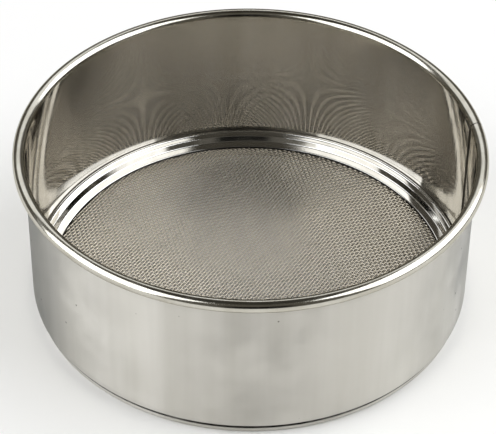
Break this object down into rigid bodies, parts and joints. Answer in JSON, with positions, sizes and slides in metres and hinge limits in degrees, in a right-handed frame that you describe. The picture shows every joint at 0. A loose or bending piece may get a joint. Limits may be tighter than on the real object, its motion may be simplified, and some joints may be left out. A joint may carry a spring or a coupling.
{
  "type": "drum sieve",
  "caption": "Round kitchen drum sieve: a straight polished steel hoop with a curled wire rim and a flat woven wire cloth held between rings at its base.",
  "frame": {"origin": "centre of the underside, on the surface that the sieve stands on", "axes": "+Z is the drum's axis, up towards the open curled rim; -Y is the front; the joint of the curl, where the lap begins, is 9.3 degrees from +X towards +Y"},
  "size_m": [0.203, 0.203, 0.0778],
  "materials": {
    "polished_sheet": "polished stainless steel sheet, mirror inside, soft fine-brushed outside",
    "rim_wire": "plain drawn steel wire",
    "wire_cloth": "woven stainless wire, soft grey"
  },
  "bodies": {
    "root": {"drum_hoop": "polished_sheet", "rim_wire": "rim_wire", "seat_ring": "polished_sheet", "sieve_cloth": "wire_cloth", "base_ring": "polished_sheet"}
  },
  "joints": []
}
